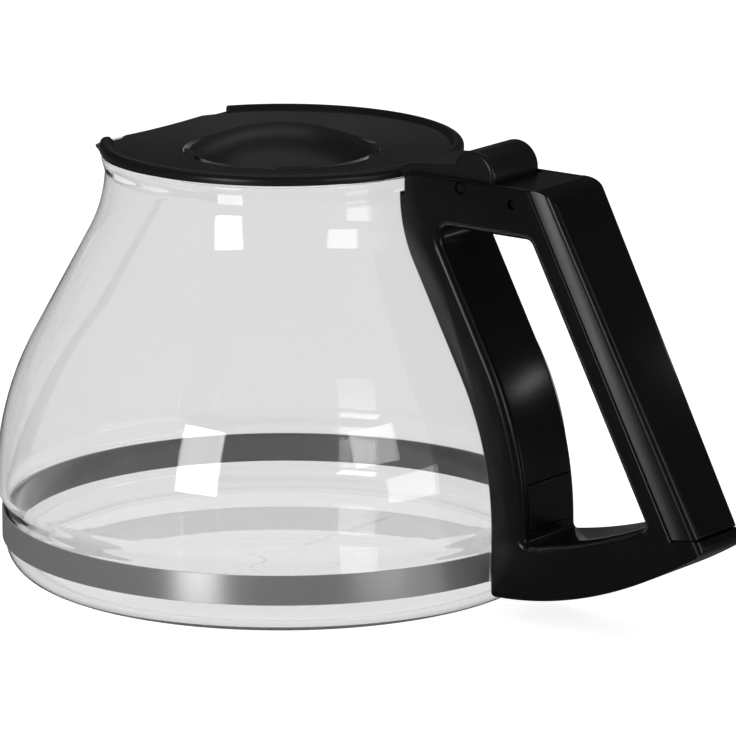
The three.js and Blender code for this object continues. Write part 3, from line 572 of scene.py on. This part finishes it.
def make_cover():
    half = SLOT_HALF - SEAT_GAP
    seam = grip_line(GRIP_INNER_DEPTH, CHEEK_TOP)[0]
    depth = GRIP_INNER_DEPTH + GRIP_OUTER_DEPTH
    end = LEDGE_HEIGHT + SEAT_GAP
    back = GRIP_INNER_DEPTH / 2
    shape = outline([
        ([grip_line(back, CHEEK_TOP), grip_line(depth, CHEEK_TOP)], COVER_CROWN),
        ([grip_line(depth, CHEEK_TOP), grip_line(depth, end)], LOOP_CREASE),
        ([grip_line(depth, end), grip_line(back, end)], 0),
        ([grip_line(back, end), grip_line(back, CHEEK_TOP)], 0),
    ], 12)
    obj = cover_body("grip_cover_smooth", 0)
    combine(obj, cover_body("cover_hollow", SHELL))
    combine(obj, plate("cover_trim", shape, HALF_WIDTH, EDGE_ROUND / 2), "INTERSECT")
    tongue = [(HINGE_RADIUS, TONGUE_BOTTOM), (seam + SHELL, TONGUE_BOTTOM), (seam + SHELL, CHEEK_TOP),
              (HINGE_RADIUS, CHEEK_TOP)]
    combine(obj, slab("tongue", tongue, half), "UNION")
    combine(obj, block("tongue_hollow",
                       (HINGE_RADIUS + DRUM_SWEEP + SHELL + SEAT_GAP, -half + SHELL, TONGUE_BOTTOM - GRIP_INNER_DEPTH),
                       (seam + 2 * SHELL, half - SHELL, CHEEK_TOP - SHELL)))
    combine(obj, cross_bar("drum_room", DRUM_SWEEP + SEAT_GAP, HANDLE_WIDTH, HINGE_RADIUS, HINGE_HEIGHT, 96))
    combine(obj, cross_bar("cover_bore", COVER_PIN_RADIUS + BORE_GAP, HANDLE_WIDTH, COVER_PIN_X, COVER_PIN_Z))
    return finish_mesh(obj, 30, 0.3)


def lid_section():
    seat = RIM_HEIGHT + SEAT_GAP
    top = RIM_HEIGHT + LID_RISE
    skirt = NECK_RADIUS - WALL - SKIRT_GAP
    skirt_end = RIM_HEIGHT - SKIRT_DEPTH
    step = LID_RADIUS - LID_RIM_WIDTH
    funnel_top = top - LID_STEP
    return ([(LID_RADIUS, seat)]
            + arc((LID_RADIUS - LID_EDGE_ROUND, top - LID_EDGE_ROUND), LID_EDGE_ROUND, 0, math.pi / 2, 10)
            + [(step, top), (step - LID_STEP, funnel_top), (FUNNEL_HOLE, FUNNEL_FLOOR),
               (FUNNEL_HOLE, FUNNEL_FLOOR - LID_SHEET), (skirt - LID_SHEET, funnel_top - LID_SHEET),
               (skirt - SKIRT_DRAFT - LID_SHEET / 2, skirt_end), (skirt - SKIRT_DRAFT, skirt_end), (skirt, seat)])


def arm_outline():
    rim_top = RIM_HEIGHT + LID_RISE
    root = LID_RADIUS - 2 * LID_RIM_WIDTH
    drop = LIP_RADIUS + HANDLE_STANDOFF + SEAT_GAP
    under = CHEEK_TOP - ARM_DEPTH
    seat = RIM_HEIGHT + SEAT_GAP
    return outline([
        ([(root, rim_top - LID_STEP), (LID_RADIUS, rim_top), (LID_RADIUS + ARM_FRONT, rim_top + ARM_FRONT),
          (HINGE_RADIUS, rim_top + ARM_RISE)], 0),
        ([(HINGE_RADIUS, under), (drop, under), (drop, seat), (root, seat)], 0),
    ])


def make_lid():
    far = 2 * LID_RADIUS
    obj = turned("lid_plate_smooth", lid_section(), 192, closed=True)
    wedge = [(0, 0)] + arc((0, 0), far, math.pi - SPOUT_HALF_ANGLE, math.pi + SPOUT_HALF_ANGLE, 16)
    top = RIM_HEIGHT + SPOUT_EDGE_HEIGHT
    rim_cut = loft("rim_cut", [(wedge, top), (wedge, top + far)], level)
    core = arc((0, 0), LID_RADIUS - 2 * LID_RIM_WIDTH, 0, TAU, 192)[:-1]
    combine(rim_cut, loft("core", [(core, 0), (core, 2 * RIM_HEIGHT)], level))
    combine(obj, rim_cut)
    combine(obj, block("edge_cut", (-far, -far, 0), (-SPOUT_EDGE, far, 2 * far)))
    combine(obj, block("pour_cut", (-far, -POUR_WIDTH / 2, 0),
                       (-FUNNEL_HOLE - LID_SHEET, POUR_WIDTH / 2, RIM_HEIGHT - LID_SHEET)))
    combine(obj, plate("arm", arm_outline(), ARM_HALF, EDGE_ROUND / 2), "UNION")
    drum = arc((HINGE_RADIUS + DRUM_BEHIND, HINGE_HEIGHT + DRUM_ABOVE), DRUM_RADIUS, 0, TAU, 96)[:-1]
    combine(obj, plate("drum", drum, ARM_HALF, DRUM_ROUND), "UNION")
    combine(obj, cross_bar("barrel", HINGE_PIN_RADIUS + LID_SHEET, ARM_HALF - EDGE_ROUND / 2, HINGE_RADIUS,
                           HINGE_HEIGHT), "UNION")
    combine(obj, cross_bar("pin_bore", HINGE_PIN_RADIUS + BORE_GAP, HALF_WIDTH, HINGE_RADIUS, HINGE_HEIGHT))
    return finish_mesh(obj, 30, 0.2)


def ring_sector(name, inner, outer, bottom, top, turn):
    start = math.asin(DOME_LEG_WIDTH / 2 / outer)
    loop = (arc((0, 0), outer, turn - start, turn + start, 10)
            + arc((0, 0), inner, turn + start, turn - start, 10))
    return loft(name, [(loop, bottom), (loop, top)], level)


def make_dome():
    sphere = (DOME_RADIUS ** 2 + DOME_HEIGHT ** 2) / (2 * DOME_HEIGHT)
    centre = (0, FUNNEL_FLOOR + DOME_HEIGHT - sphere)
    reach = math.asin(DOME_RADIUS / sphere)
    quarter = math.pi / 2
    hollow = arc(centre, sphere - DOME_SHEET, quarter, quarter - reach, 20)
    cap = arc(centre, sphere, quarter - reach, quarter, 24)
    hollow[0] = (0.0, hollow[0][1])
    cap[-1] = (0.0, cap[-1][1])
    obj = turned("drip_dome_smooth", hollow + cap, 160)
    under = FUNNEL_FLOOR - LID_SHEET - SEAT_GAP
    outer = FUNNEL_HOLE - SEAT_GAP
    for i in range(DOME_LEGS):
        turn = (i + 0.5) / DOME_LEGS * TAU
        combine(obj, ring_sector("leg", outer - DOME_LEG_WALL, outer, under - DOME_HOOK, FUNNEL_FLOOR, turn), "UNION")
        combine(obj, ring_sector("hook", outer - DOME_LEG_WALL, FUNNEL_HOLE + DOME_HOOK, under - DOME_HOOK, under,
                                 turn), "UNION")
    return finish_mesh(obj, 30, 0.2)


def make_pin(name, radius, half, x, z):
    chamfer = 0.25
    rings = [(radius - chamfer, -half), (radius, -half + chamfer), (radius, half - chamfer), (radius - chamfer, half)]
    obj = loft(name, [(arc((x, z), r, 0, TAU, 48)[:-1], at) for r, at in rings], upright)
    return finish_mesh(obj, 35)


# Materials

def new_material(name):
    material = bpy.data.materials.new(name)
    material.use_nodes = True
    nodes = material.node_tree.nodes
    return material, nodes, material.node_tree.links, nodes["Principled BSDF"]


def ramp(nodes, links, source, low, high, start=0.0, end=1.0):
    node = nodes.new("ShaderNodeMapRange")
    node.inputs["From Min"].default_value = start
    node.inputs["From Max"].default_value = end
    node.inputs["To Min"].default_value = low
    node.inputs["To Max"].default_value = high
    links.new(source, node.inputs["Value"])
    return node.outputs["Result"]


def noise(nodes, links, scale, detail=3.0, stretch=None):
    coords = nodes.new("ShaderNodeTexCoord")
    node = nodes.new("ShaderNodeTexNoise")
    node.inputs["Scale"].default_value = scale
    node.inputs["Detail"].default_value = detail
    source = coords.outputs["Object"]
    if stretch:
        mapping = nodes.new("ShaderNodeMapping")
        mapping.inputs["Scale"].default_value = stretch
        links.new(source, mapping.inputs["Vector"])
        source = mapping.outputs["Vector"]
    links.new(source, node.inputs["Vector"])
    return node.outputs["Fac"]


def bump(nodes, links, shader, height, strength, distance):
    node = nodes.new("ShaderNodeBump")
    node.inputs["Strength"].default_value = strength
    node.inputs["Distance"].default_value = distance
    links.new(height, node.inputs["Height"])
    links.new(node.outputs["Normal"], shader.inputs["Normal"])


def mix_colours(nodes, links, factor, a, b):
    node = nodes.new("ShaderNodeMix")
    node.data_type = "RGBA"
    node.inputs[6].default_value = (*a, 1)
    node.inputs[7].default_value = (*b, 1)
    links.new(factor, node.inputs[0])
    return node.outputs[2]


def glass_material():
    material, nodes, links, shader = new_material("clear_glass")
    shader.inputs["Transmission Weight"].default_value = 1.0
    shader.inputs["IOR"].default_value = 1.47
    waves = noise(nodes, links, 16.0, 2.0)
    tint = mix_colours(nodes, links, waves, (0.925, 0.928, 0.926), (0.937, 0.94, 0.938))
    links.new(tint, shader.inputs["Base Color"])
    links.new(ramp(nodes, links, waves, 0.0, 0.012), shader.inputs["Roughness"])
    bump(nodes, links, shader, waves, 0.05, 0.002)
    return material


def painted_shade_inside(nodes, links, colour, dark):
    """Painted shade: the colour where the surface faces away from the upright axis, a dark painted shade where it
    faces it.
    """
    geometry = nodes.new("ShaderNodeNewGeometry")
    outward = nodes.new("ShaderNodeVectorMath")
    outward.operation = "DOT_PRODUCT"
    links.new(geometry.outputs["Normal"], outward.inputs[0])
    links.new(geometry.outputs["Position"], outward.inputs[1])
    shade = nodes.new("ShaderNodeMix")
    shade.data_type = "RGBA"
    links.new(ramp(nodes, links, outward.outputs["Value"], 1.0, 0.0, -0.05, 0.05), shade.inputs[0])
    links.new(colour, shade.inputs[6])
    shade.inputs[7].default_value = (*dark, 1)
    return shade.outputs[2]


def steel_material(name, brushed):
    material, nodes, links, shader = new_material(name)
    shader.inputs["Metallic"].default_value = 0.75 if brushed else 1.0
    grain = noise(nodes, links, 60.0, 4.0, (0.6, 0.6, 60.0) if brushed else (1.0, 1.0, 1.0))
    colour = mix_colours(nodes, links, grain, (0.66, 0.66, 0.66), (0.74, 0.74, 0.735))
    rough = (0.40, 0.48) if brushed else (0.12, 0.22)
    if brushed:
        # Painted shade: the band's inside is painted near black, standing in for the dark reflection it shows through
        # the glass.
        colour = painted_shade_inside(nodes, links, colour, (0.035, 0.035, 0.035))
        shader.inputs["Anisotropic"].default_value = 1.0
        shader.inputs["Anisotropic Rotation"].default_value = 0.25
        tangent = nodes.new("ShaderNodeTangent")
        tangent.direction_type = "RADIAL"
        tangent.axis = "Z"
        links.new(tangent.outputs["Tangent"], shader.inputs["Tangent"])
    links.new(colour, shader.inputs["Base Color"])
    links.new(ramp(nodes, links, grain, *rough), shader.inputs["Roughness"])
    bump(nodes, links, shader, grain, 0.04, 0.0002)
    return material


def plastic_material(name, dark, light, rough, grain_scale, grain_strength):
    material, nodes, links, shader = new_material(name)
    shader.inputs["IOR"].default_value = 1.5
    shader.inputs["Specular IOR Level"].default_value = 0.3
    cloud = noise(nodes, links, 35.0, 3.0)
    fine = noise(nodes, links, grain_scale, 3.0)
    links.new(mix_colours(nodes, links, cloud, dark, light), shader.inputs["Base Color"])
    links.new(ramp(nodes, links, cloud, rough[0], rough[1], 0.3, 0.7), shader.inputs["Roughness"])
    bump(nodes, links, shader, fine, grain_strength, 0.0002)
    return material


glass = glass_material()
band_steel = steel_material("polished_band_steel", True)
pin_steel = steel_material("pin_steel", False)
gloss_black = plastic_material("gloss_black_plastic", (0.0035, 0.0035, 0.0038), (0.0055, 0.0055, 0.006), (0.20, 0.27),
                               2200.0, 0.05)
satin_black = plastic_material("satin_black_plastic", (0.008, 0.008, 0.0085), (0.012, 0.012, 0.0125), (0.27, 0.34),
                               1500.0, 0.12)


def dress(obj, material, body, slot, *nodes):
    obj.data.materials.clear()
    obj.data.materials.append(material)
    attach(obj, body)
    if nodes:
        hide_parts(*nodes)
    return obj


jug = dress(make_glass(), glass, "jug", "glass", "glass_jug")
jug.visible_shadow = False
dress(make_band(), band_steel, "jug", "steel", "steel_band")
dress(make_frame(), gloss_black, "jug", "gloss_black", "handle_frame")
dress(make_panel(), gloss_black, "jug", "gloss_black", "clamp_cover")
dress(make_cover(), gloss_black, "jug", "gloss_black", "grip_cover")
dress(make_pin("hinge_pin_smooth", HINGE_PIN_RADIUS, HALF_WIDTH - HINGE_PIN_RECESS, HINGE_RADIUS, HINGE_HEIGHT),
      gloss_black, "jug", "gloss_black", "hinge_pin")
dress(make_pin("cover_pin_smooth", COVER_PIN_RADIUS, HALF_WIDTH - COVER_PIN_RECESS, COVER_PIN_X, COVER_PIN_Z),
      gloss_black, "jug", "gloss_black", "cover_pin")
dress(make_lid(), satin_black, "lid", "satin_black", "lid_plate")
dress(make_dome(), satin_black, "lid", "satin_black", "drip_dome")
for name in ("clamp_bracket", "clamp_screw"):
    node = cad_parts[name]
    node.data.materials.clear()
    node.data.materials.append(pin_steel)


# Floor, light and camera

FLOOR_LIFT = 0.75


def light_path(nodes, *kinds):
    """1 for rays of these kinds, 0 for others."""
    path = nodes.new("ShaderNodeLightPath")
    total = path.outputs[kinds[0]]
    for kind in kinds[1:]:
        either = nodes.new("ShaderNodeMath")
        either.operation = "MAXIMUM"
        nodes.id_data.links.new(total, either.inputs[0])
        nodes.id_data.links.new(path.outputs[kind], either.inputs[1])
        total = either.outputs[0]
    return total


def floor_material():
    material, nodes, links, shader = new_material("white_floor")
    patches = noise(nodes, links, 3.0)
    pale = mix_colours(nodes, links, patches, (0.80, 0.80, 0.80), (0.82, 0.82, 0.82))
    dim = mix_colours(nodes, links, light_path(nodes, "Is Glossy Ray"), (1, 1, 1), (0.22, 0.22, 0.22))
    product = nodes.new("ShaderNodeMix")
    product.data_type = "RGBA"
    product.blend_type = "MULTIPLY"
    product.inputs[0].default_value = 1.0
    links.new(pale, product.inputs[6])
    links.new(dim, product.inputs[7])
    links.new(product.outputs[2], shader.inputs["Base Color"])
    shader.inputs["Roughness"].default_value = 0.9
    shader.inputs["Specular IOR Level"].default_value = 0.0
    shader.inputs["Emission Color"].default_value = (1, 1, 1, 1)
    seen = light_path(nodes, "Is Camera Ray", "Is Transmission Ray")
    links.new(ramp(nodes, links, seen, 0.0, FLOOR_LIFT), shader.inputs["Emission Strength"])
    return material


floor = add_mesh("floor", [(-4000, -4000, 0), (4000, -4000, 0), (4000, 4000, 0), (-4000, 4000, 0)], [(0, 1, 2, 3)])
floor.data.materials.append(floor_material())

world = bpy.data.worlds.new("studio")
world.use_nodes = True
bpy.context.scene.world = world
world_nodes, world_links = world.node_tree.nodes, world.node_tree.links
background = world_nodes["Background"]
background.inputs["Color"].default_value = (1, 1, 1, 1)
seen = light_path(world_nodes, "Is Camera Ray", "Is Transmission Ray")
base = ramp(world_nodes, world_links, light_path(world_nodes, "Is Diffuse Ray"), 0.035, 0.4)
lift = world_nodes.new("ShaderNodeMath")
lift.operation = "MAXIMUM"
world_links.new(base, lift.inputs[0])
world_links.new(seen, lift.inputs[1])
world_links.new(lift.outputs[0], background.inputs["Strength"])

CAMERA = Vector((1.0711, -1.3826, 0.4812))
TARGET = Vector((0.01869, 0.01408, 0.0549))
TO_CAMERA = Vector((CAMERA.x - TARGET.x, CAMERA.y - TARGET.y, 0)).normalized()
TO_RIGHT = Vector((-TO_CAMERA.y, TO_CAMERA.x, 0))


def softbox(name, azimuth, elevation, spread, radiance, distance=1.3, aim=(0.03, -0.02, 0.06)):
    """A lamp seen from the object at angles from the photograph's viewpoint, spread in degrees."""
    aim = Vector(aim)
    az, el = math.radians(azimuth), math.radians(elevation)
    flat = TO_CAMERA * math.cos(az) + TO_RIGHT * math.sin(az)
    light = bpy.data.lights.new(name, "AREA")
    light.shape = "RECTANGLE"
    light.size, light.size_y = (2 * distance * math.tan(math.radians(s / 2)) for s in spread)
    light.energy = radiance * math.pi * light.size * light.size_y
    obj = bpy.data.objects.new(name, light)
    bpy.context.scene.collection.objects.link(obj)
    obj.location = aim + (flat * math.cos(el) + Vector((0, 0, math.sin(el)))) * distance
    obj.rotation_euler = (aim - obj.location).to_track_quat("-Z", "Y").to_euler()
    return obj


softbox("left_box", -34.5, 14.5, (17, 23), 8.0)
softbox("right_box", 40.0, 19.0, (19, 13), 3.5)
leg_card = softbox("leg_card", 107.5, 14.5, (15, 4), 4.0, 0.1, (0.0815, 0.001, 0.062))
leg_card.visible_camera = False
leg_card.visible_transmission = False
softbox("right_card", 66.0, 3.0, (46, 9), 2.6)
softbox("back_card", 188.0, 28.0, (24, 8), 0.4)
softbox("top_box", 170.0, 68.0, (50, 30), 0.5)

camera = bpy.data.cameras.new("camera")
camera.sensor_width = 36.0
camera.lens = 321.85
camera.clip_end = 50.0
camera_object = bpy.data.objects.new("camera", camera)
bpy.context.scene.collection.objects.link(camera_object)
camera_object.location = CAMERA
camera_object.rotation_euler = (TARGET - CAMERA).to_track_quat("-Z", "Y").to_euler()
bpy.context.scene.camera = camera_object
bpy.context.scene.view_settings.view_transform = "Standard"
